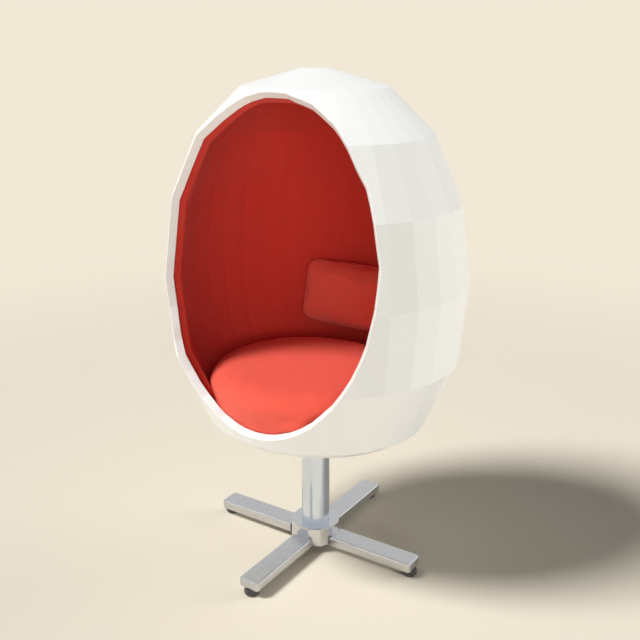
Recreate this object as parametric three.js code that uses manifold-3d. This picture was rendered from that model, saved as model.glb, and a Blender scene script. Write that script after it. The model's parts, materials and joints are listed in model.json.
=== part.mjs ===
// Pod chair: a faceted egg-shaped shell with an upholstered inside, which swivels on a four-armed base.
// Millimetres, +Z up. The floor is z = 0 and the chair faces -Y.
// Every piece is modelled about the swivel axis, and the whole is then moved so that the origin
// lies at the middle of the chair's footprint.

import * as THREE from 'three';
import { mergeVertices } from 'three/addons/utils/BufferGeometryUtils.js';
import { RoundedBoxGeometry } from 'three/addons/geometries/RoundedBoxGeometry.js';
import Module from 'manifold-3d';

const wasm = await Module();
wasm.setup();

// Clearances shared by all pieces
const seatGap = 0.3;
const cutOverrun = 2;
const weldDistance = 1e-4;
const roundSides = 36;
const smallRoundSides = 12;

// Egg-shaped shell, by rings of corners from the crown down to the flat underside
const shell = {
  halfWidth: 410,
  halfDepth: 374,
  halfHeight: 527,
  equatorHeight: 804,
  sides: 32,
  wall: 22,
};
const ringHeightShares = [1, 0.919, 0.706, 0.392, 0, -0.381, -0.73, -0.776];
const ringRadiusShares = [0.093, 0.465, 0.753, 0.931, 1, 0.955, 0.753, 0.664];

// Front opening of the shell: an upright oval seen from the front, cut square to the wall
const opening = {
  halfWidth: 319,
  halfHeight: 419,
  centreRise: 61,
  sides: 28,
  slopeReach: 70,
  outwardReach: 40,
  inwardReach: 90,
  frontReach: 700,
  sideTurnShare: 0.3,
  phaseShare: 0.5,
};

// Upholstered lining inside the shell, set back from the shell's edge
const lining = {
  thickness: 19,
  setBack: 5,
  footSetBack: 34,
};

// Round seat cushion
const seat = {
  halfWidth: 278,
  halfDepth: 262,
  centreForward: 30,
  thickness: 123.3,
  crown: 14,
  edgeRadius: 40,
  drawIn: 5,
  sides: 48,
  edgeSteps: 5,
  topSteps: 4,
};

// Back cushion, hung on the lining by two press studs
const backCushion = {
  width: 398,
  height: 188,
  thickness: 130,
  cornerRadius: 34,
  crown: 9,
  drawIn: 6,
  frontDepth: 214,
  lift: 17,
  leanDegrees: 12,
  cornerSteps: 5,
};
const stud = {
  spread: 190,
  shankRadius: 3,
  shellBite: 12,
  headRadius: 9,
  headThickness: 4,
  headStand: 3,
};

// Plain rubber glides under the arm ends
const glide = {
  height: 20,
  radius: 21,
  footRadius: 14,
  bulgeHeight: 9,
  neckRadius: 18,
  inset: 16,
  studRadius: 4,
  studInGlide: 11,
  studInArm: 15,
  heelShare: 0.33,
};

// Four-armed base
const arm = {
  reach: 323,
  width: 63,
  height: 27,
  bevel: 5,
  bevelSteps: 3,
  endCorner: 9,
  cornerSteps: 3,
};
const hub = {
  radius: 70.5,
  sides: 12,
  phaseShare: 0.5,
  height: 57,
  bevel: 3,
  bevelSteps: 2,
  boreRadius: 57.5,
  deck: 12,
  plateThickness: 4,
};
const armBolt = {
  radius: 4,
  headRadius: 6,
  headLength: 7,
  armBite: 28,
};

// Swivel column
const column = {
  radius: 40,
  wall: 3,
  footPlugHeight: 20,
};
const columnBolt = {
  radius: 6,
  headRadius: 11,
  headLength: 5,
  plugBite: 16,
};
const collar = {
  spigot: 30,
  flange: 6,
};
const bush = {
  wall: 7,
  flangeReach: 5,
  flangeThickness: 3,
  lowerLength: 30,
  spread: 150,
};
const thrustWasher = {
  thickness: 3,
  radius: 31,
};

// Spindle that carries the pod, and its retainer
const spindle = {
  radius: 15,
  bossRadius: 32,
  bossHeight: 22,
  flangeRadius: 52,
  flangeThickness: 6,
  belowBush: 2,
};
const retainer = {
  washerRadius: 21,
  washerThickness: 3,
  screwRadius: 4,
  screwBite: 20,
  headRadius: 7,
  headLength: 6,
};

// Swivel plate under the shell, clamp plate above its floor, and the bolts through both
const swivelPlate = {
  width: 170,
  thickness: 6,
  cornerRadius: 18,
  cornerSteps: 3,
};
const clampPlate = {
  width: 176,
  thickness: 4,
  nutRadius: 8,
  nutHeight: 6,
};
const plateBolt = {
  spacing: 130,
  radius: 4,
  headRadius: 8,
  headLength: 5,
};

// Heights and radii that follow from the sizes above
const armUnderside = glide.height;
const armMiddle = armUnderside + arm.height / 2;
const hubTop = armUnderside + hub.height;
const hubPlateTop = armUnderside + hub.plateThickness;
const columnBottom = hubPlateTop + seatGap;
const columnBore = column.radius - column.wall;
const shellUnderside = shell.equatorHeight
  + shell.halfHeight * ringHeightShares[ringHeightShares.length - 1];
const shellFloor = shellUnderside + shell.wall;
const liningFloor = shellFloor + seatGap + lining.thickness;
const swivelPlateTop = shellUnderside - seatGap;
const swivelPlateBottom = swivelPlateTop - swivelPlate.thickness;
const spindleTop = swivelPlateBottom - seatGap;
const spindleShoulder = spindleTop - spindle.flangeThickness - spindle.bossHeight;
const washerTop = spindleShoulder - seatGap;
const bushFlangeTop = washerTop - thrustWasher.thickness - seatGap;
const collarTop = bushFlangeTop - bush.flangeThickness - seatGap;
const columnTop = collarTop - collar.flange - seatGap;
const bushRadius = spindle.radius + seatGap + bush.wall;
const lowerBushBottom = columnTop - bush.spread;
const spindleBottom = lowerBushBottom - spindle.belowBush;
const clampPlateBottom = shellFloor + seatGap;
const clampPlateTop = clampPlateBottom + clampPlate.thickness;
const nutTop = clampPlateTop + clampPlate.nutHeight;
const openingCentre = shell.equatorHeight + opening.centreRise;
const seatBottom = liningFloor + seatGap;
const seatTop = seatBottom + seat.thickness;
const backCushionCentre = seatTop + backCushion.lift + backCushion.height / 2;
const liningInset = shell.wall + seatGap + lining.thickness;
const insideInset = liningInset + seatGap;
const footprintShift = (arm.reach - shell.halfDepth) / 2;

// Finishes
function finish(colour, roughness, metalness) {
  return { color: colour, roughness, metalness };
}
const whiteShell = finish(0xeeece2, 0.35, 0);
const redLining = finish(0xb3221a, 0.85, 0);
const redCushion = finish(0xe0402f, 0.85, 0);
const satinMetal = finish(0xb9bcc2, 0.25, 1);
const polishedMetal = finish(0xc6c8cb, 0.15, 1);
const darkSteel = finish(0x6d7075, 0.4, 1);
const zincSteel = finish(0xa9abad, 0.35, 1);
const blackRubber = finish(0x2a2a2b, 0.8, 0);
const palePlastic = finish(0xd9d6c8, 0.5, 0);

// Welds a geometry's shared corners, drops collapsed triangles and turns its faces outward
function welded(geometry) {
  const bare = geometry.clone();
  bare.deleteAttribute('normal');
  bare.deleteAttribute('uv');
  const merged = mergeVertices(bare, weldDistance);
  const corners = merged.getAttribute('position');
  const index = merged.getIndex().array;
  const kept = [];
  let volume = 0;
  const a = new THREE.Vector3();
  const b = new THREE.Vector3();
  const c = new THREE.Vector3();
  for (let i = 0; i < index.length; i += 3) {
    const [p, q, r] = [index[i], index[i + 1], index[i + 2]];
    if (p === q || q === r || r === p) continue;
    kept.push(p, q, r);
    a.fromBufferAttribute(corners, p);
    b.fromBufferAttribute(corners, q);
    c.fromBufferAttribute(corners, r);
    volume += a.dot(b.cross(c));
  }
  if (volume < 0) {
    for (let i = 0; i < kept.length; i += 3) {
      [kept[i + 1], kept[i + 2]] = [kept[i + 2], kept[i + 1]];
    }
  }
  merged.setIndex(kept);
  return merged;
}

// A closed geometry as a solid that can be cut and joined
function solid(geometry) {
  const closed = welded(geometry);
  return new wasm.Manifold(new wasm.Mesh({
    numProp: 3,
    vertProperties: new Float32Array(closed.getAttribute('position').array),
    triVerts: new Uint32Array(closed.getIndex().array),
  }));
}

// A cut or joined solid as a geometry
function surface(body) {
  const mesh = body.getMesh();
  const geometry = new THREE.BufferGeometry();
  geometry.setAttribute('position', new THREE.BufferAttribute(new Float32Array(mesh.vertProperties), 3));
  geometry.setIndex(new THREE.BufferAttribute(new Uint32Array(mesh.triVerts), 1));
  return geometry;
}

// A named mesh of a solid with its finish
function piece(name, body, look) {
  const mesh = new THREE.Mesh(surface(body), new THREE.MeshStandardMaterial(look));
  mesh.name = name;
  return mesh;
}

// A turned body about the Z axis, from [radius, height] pairs in order round its section
function turned(section, sides = roundSides) {
  const points = section.map(([radius, height]) => new THREE.Vector2(radius, height));
  const first = points[0];
  const last = points[points.length - 1];
  if (first.x > 0 || last.x > 0) points.push(first.clone());
  const geometry = new THREE.LatheGeometry(points, sides);
  geometry.rotateX(Math.PI / 2);
  return solid(geometry);
}

// A plain disc or rod about the Z axis
function rod(radius, bottom, top, sides = roundSides) {
  return turned([[0, bottom], [radius, bottom], [radius, top], [0, top]], sides);
}

// A ring about the Z axis
function ring(inner, outer, bottom, top, sides = roundSides) {
  return turned([[inner, bottom], [outer, bottom], [outer, top], [inner, top]], sides);
}

// A flat outline with rounded corners
function roundedSquare(width, radius, steps) {
  const half = width / 2;
  const points = [];
  for (const [x, y, start] of [[1, -1, -1], [1, 1, 0], [-1, 1, 1], [-1, -1, 2]]) {
    for (let i = 0; i <= steps; i += 1) {
      const angle = (start + i / steps) * Math.PI / 2;
      points.push(new THREE.Vector2(
        x * (half - radius) + radius * Math.cos(angle),
        y * (half - radius) + radius * Math.sin(angle),
      ));
    }
  }
  return new THREE.Shape(points);
}

// An upright slab of a flat outline
function slab(shape, bottom, top) {
  const geometry = new THREE.ExtrudeGeometry(shape, { depth: top - bottom, bevelEnabled: false });
  geometry.translate(0, 0, bottom);
  return solid(geometry);
}

// An upright slab whose upper and lower edges are bevelled inside its outline
function bevelledSlab(shape, bottom, top, bevel, steps) {
  const geometry = new THREE.ExtrudeGeometry(shape, {
    depth: top - bottom - 2 * bevel,
    bevelEnabled: true,
    bevelThickness: bevel,
    bevelSize: bevel,
    bevelOffset: -bevel,
    bevelSegments: steps,
  });
  geometry.translate(0, 0, bottom + bevel);
  return solid(geometry);
}

// A closed body through rings of points, with a flat fan at each end
function ringed(rings) {
  const count = rings[0].length;
  const corners = [];
  const triangles = [];
  for (const points of rings) {
    for (const point of points) corners.push(...point);
  }
  for (let k = 0; k + 1 < rings.length; k += 1) {
    for (let i = 0; i < count; i += 1) {
      const a = k * count + i;
      const b = k * count + (i + 1) % count;
      triangles.push(a, b, b + count, a, b + count, a + count);
    }
  }
  for (const [ringIndex, forward] of [[0, false], [rings.length - 1, true]]) {
    const centre = corners.length / 3;
    const mean = [0, 1, 2].map((axis) => (
      rings[ringIndex].reduce((sum, point) => sum + point[axis], 0) / count
    ));
    corners.push(...mean);
    for (let i = 0; i < count; i += 1) {
      const a = ringIndex * count + i;
      const b = ringIndex * count + (i + 1) % count;
      triangles.push(...(forward ? [a, b, centre] : [b, a, centre]));
    }
  }
  const geometry = new THREE.BufferGeometry();
  geometry.setAttribute('position', new THREE.BufferAttribute(new Float32Array(corners), 3));
  geometry.setIndex(triangles);
  return solid(geometry);
}

// The egg's profile as radius and height pairs on its wide plane, moved inward by an inset
function eggProfile(inset) {
  const profile = ringHeightShares.map((share, i) => ({
    radius: shell.halfWidth * ringRadiusShares[i],
    height: shell.equatorHeight + shell.halfHeight * share,
  }));
  const path = [
    { radius: 0, height: profile[0].height },
    ...profile,
    { radius: 0, height: profile[profile.length - 1].height },
  ];
  return profile.map((point, i) => {
    const before = outwardNormal(path[i], path[i + 1]);
    const after = outwardNormal(path[i + 1], path[i + 2]);
    const scale = inset / (1 + before.dot(after));
    return {
      outer: point.radius,
      inward: scale * (before.x + after.x),
      height: point.height - scale * (before.y + after.y),
    };
  });
}

// The outward normal of a stretch of the profile that runs downward from one point to the next
function outwardNormal(from, to) {
  return new THREE.Vector2(from.height - to.height, to.radius - from.radius).normalize();
}

// The egg as a closed faceted body, shrunk evenly by an inset
function egg(inset) {
  const depthShare = shell.halfDepth / shell.halfWidth;
  const rings = eggProfile(inset).map(({ outer, inward, height }) => {
    const points = [];
    for (let i = 0; i < shell.sides; i += 1) {
      const angle = i * 2 * Math.PI / shell.sides;
      points.push([
        (outer - inward) * Math.cos(angle),
        (outer * depthShare - inward) * Math.sin(angle),
        height,
      ]);
    }
    return points;
  });
  return ringed(rings);
}

// The egg's radius on its wide plane at a height
function eggRadius(height) {
  const profile = eggProfile(0);
  for (let i = 0; i + 1 < profile.length; i += 1) {
    const upper = profile[i];
    const lower = profile[i + 1];
    if (height <= upper.height && height >= lower.height) {
      const share = (upper.height - height) / (upper.height - lower.height);
      return upper.outer + share * (lower.outer - upper.outer);
    }
  }
  return height > profile[0].height ? profile[0].outer : profile[profile.length - 1].outer;
}

// The front point of the egg's surface at a place seen from the front, and its outward normal
function frontPoint(x, height) {
  const radius = eggRadius(height);
  const depthShare = shell.halfDepth / shell.halfWidth;
  const y = -depthShare * Math.sqrt(Math.max(radius * radius - x * x, 0));
  const step = height > openingCentre ? -opening.slopeReach : opening.slopeReach;
  const slope = (eggRadius(height) - eggRadius(height + step)) / step;
  const normal = new THREE.Vector3(x, y / (depthShare * depthShare), radius * slope).normalize();
  return { point: new THREE.Vector3(x, y, height), normal };
}

// The plug that cuts the front opening. Its wall is square to the egg's wall at the top and the foot,
// and turns a little towards the back at the sides. It grows by one amount all round and by a further
// amount towards the foot.
function openingPlug(growth, footGrowth = 0) {
  const inner = [];
  const outer = [];
  const front = [];
  for (let i = 0; i < opening.sides; i += 1) {
    const angle = (i + opening.phaseShare) * 2 * Math.PI / opening.sides;
    const low = Math.max(-Math.sin(angle), 0);
    const reach = growth + footGrowth * low * low;
    const x = (opening.halfWidth + reach) * Math.cos(angle);
    const height = openingCentre + (opening.halfHeight + reach) * Math.sin(angle);
    const { point, normal } = frontPoint(x, height);
    normal.y -= opening.sideTurnShare * Math.abs(Math.cos(angle));
    normal.normalize();
    const inward = point.clone().addScaledVector(normal, -opening.inwardReach);
    const outward = point.clone().addScaledVector(normal, opening.outwardReach);
    inner.push(inward.toArray());
    outer.push(outward.toArray());
    front.push([outward.x, -opening.frontReach, outward.z]);
  }
  return ringed([inner, outer, front]);
}

// A copy of a body turned about Z and then moved
function placed(body, turnDegrees, x = 0, y = 0, z = 0) {
  return body.rotate([0, 0, turnDegrees]).translate([x, y, z]);
}

// The four bolt places of the swivel plate
function platePlaces() {
  const half = plateBolt.spacing / 2;
  return [
    ['front_left', -half, -half],
    ['front_right', half, -half],
    ['rear_right', half, half],
    ['rear_left', -half, half],
  ];
}

// One arm of the base, pointing along +X, with its bolt bore and glide hole.
// Its root is cut square, to lie flat against the hub's wall.
function armSolid() {
  const start = hub.radius * Math.cos(Math.PI / hub.sides) + seatGap;
  const uncutStart = start - arm.bevel;
  const half = arm.width / 2;
  const points = [new THREE.Vector2(uncutStart, half), new THREE.Vector2(uncutStart, -half)];
  for (const [side, turn] of [[-1, -1], [1, 0]]) {
    for (let i = 0; i <= arm.cornerSteps; i += 1) {
      const angle = (turn + i / arm.cornerSteps) * Math.PI / 2;
      points.push(new THREE.Vector2(
        arm.reach - arm.endCorner + arm.endCorner * Math.cos(angle),
        side * (half - arm.endCorner) + arm.endCorner * Math.sin(angle),
      ));
    }
  }
  const outline = new THREE.Shape(points);
  const armTop = armUnderside + arm.height;
  const waste = slab(new THREE.Shape([
    new THREE.Vector2(uncutStart - cutOverrun, -arm.width),
    new THREE.Vector2(start, -arm.width),
    new THREE.Vector2(start, arm.width),
    new THREE.Vector2(uncutStart - cutOverrun, arm.width),
  ]), armUnderside - cutOverrun, armTop + cutOverrun);
  const bar = bevelledSlab(outline, armUnderside, armTop, arm.bevel, arm.bevelSteps).subtract(waste);
  const bore = rod(armBolt.radius + seatGap, -cutOverrun, armBolt.armBite + cutOverrun, smallRoundSides)
    .rotate([0, 90, 0])
    .translate([start, 0, armMiddle]);
  const glideHole = rod(
    glide.studRadius + seatGap,
    armUnderside - cutOverrun,
    armUnderside + glide.studInArm + seatGap,
    smallRoundSides,
  ).translate([arm.reach - glide.inset, 0, 0]);
  return bar.subtract(bore).subtract(glideHole);
}

// The bolt that holds an arm to the hub's wall from inside, pointing along +X
function armBoltSolid() {
  const chord = Math.sqrt(hub.boreRadius ** 2 - armBolt.headRadius ** 2);
  const headEnd = chord * Math.cos(Math.PI / roundSides) - seatGap;
  const reach = hub.radius * Math.cos(Math.PI / hub.sides) + seatGap + armBolt.armBite;
  return turned([
    [0, headEnd - armBolt.headLength],
    [armBolt.headRadius, headEnd - armBolt.headLength],
    [armBolt.headRadius, headEnd],
    [armBolt.radius, headEnd],
    [armBolt.radius, reach],
    [0, reach],
  ], smallRoundSides)
    .rotate([0, 90, 0])
    .translate([0, 0, armMiddle]);
}

// The twelve-sided hub with a deck round the column and bolt holes in its wall
function hubSolid() {
  const points = [];
  for (let i = 0; i < hub.sides; i += 1) {
    const angle = (i + hub.phaseShare) * 2 * Math.PI / hub.sides;
    points.push(new THREE.Vector2(hub.radius * Math.cos(angle), hub.radius * Math.sin(angle)));
  }
  const shape = new THREE.Shape(points);
  let body = bevelledSlab(shape, armUnderside, hubTop, hub.bevel, hub.bevelSteps);
  body = body.subtract(rod(hub.boreRadius, armUnderside - cutOverrun, hubTop - hub.deck));
  body = body.subtract(rod(column.radius + seatGap, armUnderside, hubTop + cutOverrun));
  const hole = rod(armBolt.radius + seatGap, 0, hub.radius + cutOverrun, smallRoundSides)
    .rotate([0, 90, 0])
    .translate([0, 0, armMiddle]);
  for (let i = 0; i < 4; i += 1) body = body.subtract(placed(hole, i * 90));
  return body;
}

// A rubber glide, drawn at the swivel axis
function glideSolid() {
  const top = glide.height - seatGap;
  const heelRadius = glide.radius - (glide.radius - glide.footRadius) * glide.heelShare;
  const body = turned([
    [0, 0],
    [glide.footRadius, 0],
    [heelRadius, glide.bulgeHeight * glide.heelShare],
    [glide.radius, glide.bulgeHeight],
    [glide.neckRadius, top],
    [0, top],
  ], smallRoundSides);
  const socket = rod(
    glide.studRadius + seatGap,
    top - glide.studInGlide,
    top + cutOverrun,
    smallRoundSides,
  );
  return body.subtract(socket);
}

// The steel stud that joins a glide to its arm, drawn at the swivel axis
function glideStudSolid() {
  const bottom = glide.height - glide.studInGlide;
  return rod(glide.studRadius, bottom, armUnderside + glide.studInArm, smallRoundSides);
}

// The plate that closes the hub's underside and carries the column
function hubPlateSolid() {
  const disc = rod(hub.boreRadius - seatGap, armUnderside, hubPlateTop);
  const hole = rod(
    columnBolt.radius + seatGap,
    armUnderside - cutOverrun,
    hubPlateTop + cutOverrun,
    smallRoundSides,
  );
  return disc.subtract(hole);
}

// The threaded plug inside the column's foot
function footPlugSolid() {
  return ring(
    columnBolt.radius + seatGap,
    columnBore - seatGap,
    columnBottom,
    columnBottom + column.footPlugHeight,
  );
}

// The bolt that draws the column onto the hub's plate
function columnBoltSolid() {
  const headTop = armUnderside - seatGap;
  return turned([
    [0, headTop - columnBolt.headLength],
    [columnBolt.headRadius, headTop - columnBolt.headLength],
    [columnBolt.headRadius, headTop],
    [columnBolt.radius, headTop],
    [columnBolt.radius, columnBottom + columnBolt.plugBite],
    [0, columnBottom + columnBolt.plugBite],
  ], smallRoundSides);
}

// The turned collar that closes the column's top and holds the upper bush
function collarSolid() {
  const inner = bushRadius + seatGap;
  return turned([
    [inner, columnTop - collar.spigot],
    [columnBore - seatGap, columnTop - collar.spigot],
    [columnBore - seatGap, columnTop + seatGap],
    [column.radius, columnTop + seatGap],
    [column.radius, collarTop],
    [inner, collarTop],
  ]);
}

// The flanged upper bush
function upperBushSolid() {
  const bore = spindle.radius + seatGap;
  const flange = bushRadius + bush.flangeReach;
  return turned([
    [bore, columnTop - collar.spigot],
    [bushRadius, columnTop - collar.spigot],
    [bushRadius, collarTop + seatGap],
    [flange, collarTop + seatGap],
    [flange, bushFlangeTop],
    [bore, bushFlangeTop],
  ]);
}

// The lower bush, pressed into the column
function lowerBushSolid() {
  return ring(
    spindle.radius + seatGap,
    columnBore - seatGap,
    lowerBushBottom,
    lowerBushBottom + bush.lowerLength,
  );
}

// The spindle with its boss, its flange and the tapped hole for the retaining screw
function spindleSolid() {
  const body = turned([
    [0, spindleBottom],
    [spindle.radius, spindleBottom],
    [spindle.radius, spindleShoulder],
    [spindle.bossRadius, spindleShoulder],
    [spindle.bossRadius, spindleTop - spindle.flangeThickness],
    [spindle.flangeRadius, spindleTop - spindle.flangeThickness],
    [spindle.flangeRadius, spindleTop],
    [0, spindleTop],
  ]);
  const hole = rod(
    retainer.screwRadius + seatGap,
    spindleBottom - cutOverrun,
    spindleBottom + retainer.screwBite + seatGap,
    smallRoundSides,
  );
  return body.subtract(hole);
}

// The washer that keeps the spindle from lifting out
function retainerWasherSolid() {
  const top = spindleBottom - seatGap;
  return ring(retainer.screwRadius + seatGap, retainer.washerRadius, top - retainer.washerThickness, top);
}

// The screw that holds the retaining washer
function retainerScrewSolid() {
  const headTop = spindleBottom - 2 * seatGap - retainer.washerThickness;
  return turned([
    [0, headTop - retainer.headLength],
    [retainer.headRadius, headTop - retainer.headLength],
    [retainer.headRadius, headTop],
    [retainer.screwRadius, headTop],
    [retainer.screwRadius, spindleBottom + retainer.screwBite],
    [0, spindleBottom + retainer.screwBite],
  ], smallRoundSides);
}

// A rod at each bolt place of the swivel plate, all as one body for cutting
function boltHoles(radius, bottom, top) {
  const holes = platePlaces().map(([, x, y]) => (
    rod(radius, bottom, top, smallRoundSides).translate([x, y, 0])
  ));
  return wasm.Manifold.union(holes);
}

// The square plate under the shell
function swivelPlateSolid() {
  const shape = roundedSquare(swivelPlate.width, swivelPlate.cornerRadius, swivelPlate.cornerSteps);
  const holes = boltHoles(
    plateBolt.radius + seatGap,
    swivelPlateBottom - cutOverrun,
    swivelPlateTop + cutOverrun,
  );
  return slab(shape, swivelPlateBottom, swivelPlateTop).subtract(holes);
}

// The clamp plate above the shell's floor, with its four weld nuts, grown by a margin for cutting
function clampPlateBody(margin) {
  const shape = roundedSquare(
    clampPlate.width + 2 * margin,
    swivelPlate.cornerRadius + margin,
    swivelPlate.cornerSteps,
  );
  const plate = slab(shape, clampPlateBottom - margin, clampPlateTop + margin);
  const nuts = boltHoles(clampPlate.nutRadius + margin, clampPlateBottom, nutTop + margin);
  return plate.add(nuts);
}

// The clamp plate with its bolt holes
function clampPlateSolid() {
  const holes = boltHoles(
    plateBolt.radius + seatGap,
    clampPlateBottom - cutOverrun,
    nutTop + cutOverrun,
  );
  return clampPlateBody(0).subtract(holes);
}

// A bolt that runs up through the swivel plate and the shell's floor into a weld nut
function plateBoltSolid() {
  const headTop = swivelPlateBottom - seatGap;
  return turned([
    [0, headTop - plateBolt.headLength],
    [plateBolt.headRadius, headTop - plateBolt.headLength],
    [plateBolt.headRadius, headTop],
    [plateBolt.radius, headTop],
    [plateBolt.radius, nutTop],
    [0, nutTop],
  ], smallRoundSides);
}

// The shank of a press stud, along -Y from inside the shell's wall, at one side of the axis
function studRod(radius, from, to, x) {
  return rod(radius, from, to, smallRoundSides)
    .rotate([-90, 0, 0])
    .translate([x, 0, backCushionCentre]);
}

// The depth of the shell's or the lining's inner face behind a stud
function wallDepth(x, inset) {
  const radius = eggRadius(backCushionCentre);
  const depth = radius * shell.halfDepth / shell.halfWidth - inset;
  const facet = Math.cos(Math.PI / shell.sides);
  return depth * Math.sqrt(1 - (x / (radius - inset)) ** 2) * facet;
}

// A press stud: its shank in the shell, through the lining, and its head in the cushion's back
function studSolid(x) {
  const shellFace = wallDepth(x, shell.wall);
  const liningFace = wallDepth(x, liningInset);
  const headBack = liningFace - stud.headStand;
  const shank = studRod(stud.shankRadius, headBack - stud.headThickness, shellFace + stud.shellBite, x);
  return shank.add(studRod(stud.headRadius, headBack - stud.headThickness, headBack, x));
}

// The hole that a press stud needs in the wall and in the cushion
function studPocket(x) {
  const shellFace = wallDepth(x, shell.wall);
  const headFront = wallDepth(x, liningInset) - stud.headStand - stud.headThickness;
  const shank = studRod(
    stud.shankRadius + seatGap,
    headFront - seatGap,
    shellFace + stud.shellBite + seatGap,
    x,
  );
  const head = studRod(
    stud.headRadius + seatGap,
    headFront - seatGap,
    wallDepth(x, liningInset) + cutOverrun,
    x,
  );
  return { shank, head };
}

// The white shell: outer egg less inner egg, its opening, its bolt holes and its stud holes
function shellSolid() {
  let body = egg(0).subtract(egg(shell.wall)).subtract(openingPlug(0));
  body = body.subtract(boltHoles(
    plateBolt.radius + seatGap,
    shellUnderside - cutOverrun,
    shellFloor + cutOverrun,
  ));
  for (const side of [-1, 1]) body = body.subtract(studPocket(side * stud.spread / 2).shank);
  return body;
}

// The red lining, which lies on the shell's inner face and over the clamp plate. Its edge is set back
// from the shell's edge, and further at the foot, where the seat cushion covers it.
function liningSolid() {
  const plug = openingPlug(lining.setBack, lining.footSetBack);
  let body = egg(shell.wall + seatGap).subtract(egg(liningInset)).subtract(plug);
  body = body.subtract(clampPlateBody(seatGap));
  for (const side of [-1, 1]) body = body.subtract(studPocket(side * stud.spread / 2).shank);
  return body;
}

// The round seat cushion, crowned above, with its sides drawn in at mid height
function seatSolid() {
  const section = [];
  for (let i = seat.topSteps; i >= 1; i -= 1) {
    const share = i / (seat.topSteps + 1);
    section.push([share, 1]);
  }
  const outline = [];
  const flat = (radiusShare, z) => outline.push({ flat: radiusShare, round: 0, z });
  for (const [share] of [...section].reverse()) flat(share, seatBottom);
  for (let i = 0; i <= seat.edgeSteps; i += 1) {
    const angle = (i / seat.edgeSteps - 1) * Math.PI / 2;
    const z = seatBottom + seat.edgeRadius * (1 + Math.sin(angle));
    outline.push({ flat: 1, round: Math.cos(angle), z });
  }
  outline.push({ flat: 1, round: 1 - seat.drawIn / seat.edgeRadius, z: seatBottom + seat.thickness / 2 });
  for (let i = 0; i <= seat.edgeSteps; i += 1) {
    const angle = i / seat.edgeSteps * Math.PI / 2;
    const z = seatTop - seat.edgeRadius * (1 - Math.sin(angle));
    outline.push({ flat: 1, round: Math.cos(angle), z });
  }
  for (const [share] of section) flat(share, seatTop + seat.crown * (1 - share * share));
  const rings = outline.map((step) => {
    const points = [];
    const halfX = (seat.halfWidth - seat.edgeRadius) * step.flat + seat.edgeRadius * step.round;
    const halfY = (seat.halfDepth - seat.edgeRadius) * step.flat + seat.edgeRadius * step.round;
    for (let i = 0; i < seat.sides; i += 1) {
      const angle = i * 2 * Math.PI / seat.sides;
      points.push([halfX * Math.cos(angle), halfY * Math.sin(angle) - seat.centreForward, step.z]);
    }
    return points;
  });
  const liningSpace = egg(shell.wall)
    .subtract(egg(insideInset))
    .subtract(openingPlug(lining.setBack - 2 * seatGap, lining.footSetBack));
  return ringed(rings).intersect(egg(shell.wall + 2 * seatGap)).subtract(liningSpace);
}

// The back cushion: a rounded pillow whose back lies on the lining
function backCushionSolid() {
  const geometry = new RoundedBoxGeometry(
    backCushion.width,
    backCushion.thickness,
    backCushion.height,
    backCushion.cornerSteps,
    backCushion.cornerRadius,
  );
  const corners = geometry.getAttribute('position');
  for (let i = 0; i < corners.count; i += 1) {
    const across = 2 * corners.getX(i) / backCushion.width;
    const upward = 2 * corners.getZ(i) / backCushion.height;
    const through = 2 * corners.getY(i) / backCushion.thickness;
    const swell = backCushion.crown * (1 - across ** 2) * (1 - upward ** 2);
    const waist = backCushion.drawIn * (1 - through ** 2);
    corners.setY(i, corners.getY(i) + Math.min(through, 0) * swell);
    corners.setX(i, corners.getX(i) - across * waist * (1 - upward ** 2));
    corners.setZ(i, corners.getZ(i) - upward * waist * (1 - across ** 2));
  }
  const body = solid(geometry)
    .rotate([-backCushion.leanDegrees, 0, 0])
    .translate([0, backCushion.frontDepth + backCushion.thickness / 2, backCushionCentre]);
  let shaped = body.intersect(egg(insideInset));
  for (const side of [-1, 1]) shaped = shaped.subtract(studPocket(side * stud.spread / 2).head);
  return shaped;
}

// The base: hub, arms, bolts, glides, column and its bearings, which stand still
function makeBase() {
  const base = new THREE.Group();
  base.add(piece('base_hub', hubSolid(), satinMetal));
  const armBody = armSolid();
  const boltBody = armBoltSolid();
  const glidePlace = arm.reach - glide.inset;
  const glideBody = glideSolid().translate([glidePlace, 0, 0]);
  const glideStudBody = glideStudSolid().translate([glidePlace, 0, 0]);
  for (const [side, turn] of [['right', 0], ['rear', 90], ['left', 180], ['front', 270]]) {
    base.add(piece(`base_arm_${side}`, placed(armBody, turn), satinMetal));
    base.add(piece(`arm_bolt_${side}`, placed(boltBody, turn), zincSteel));
    base.add(piece(`glide_${side}`, placed(glideBody, turn), blackRubber));
    base.add(piece(`glide_stud_${side}`, placed(glideStudBody, turn), zincSteel));
  }
  base.add(piece('hub_plate', hubPlateSolid(), darkSteel));
  base.add(piece('column_tube', ring(columnBore, column.radius, columnBottom, columnTop), polishedMetal));
  base.add(piece('column_foot_plug', footPlugSolid(), darkSteel));
  base.add(piece('column_bolt', columnBoltSolid(), zincSteel));
  base.add(piece('column_collar', collarSolid(), polishedMetal));
  base.add(piece('upper_bush', upperBushSolid(), palePlastic));
  base.add(piece('lower_bush', lowerBushSolid(), palePlastic));
  const washer = ring(
    spindle.radius + seatGap,
    thrustWasher.radius,
    bushFlangeTop + seatGap,
    washerTop,
  );
  base.add(piece('thrust_washer', washer, palePlastic));
  return base;
}

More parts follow.
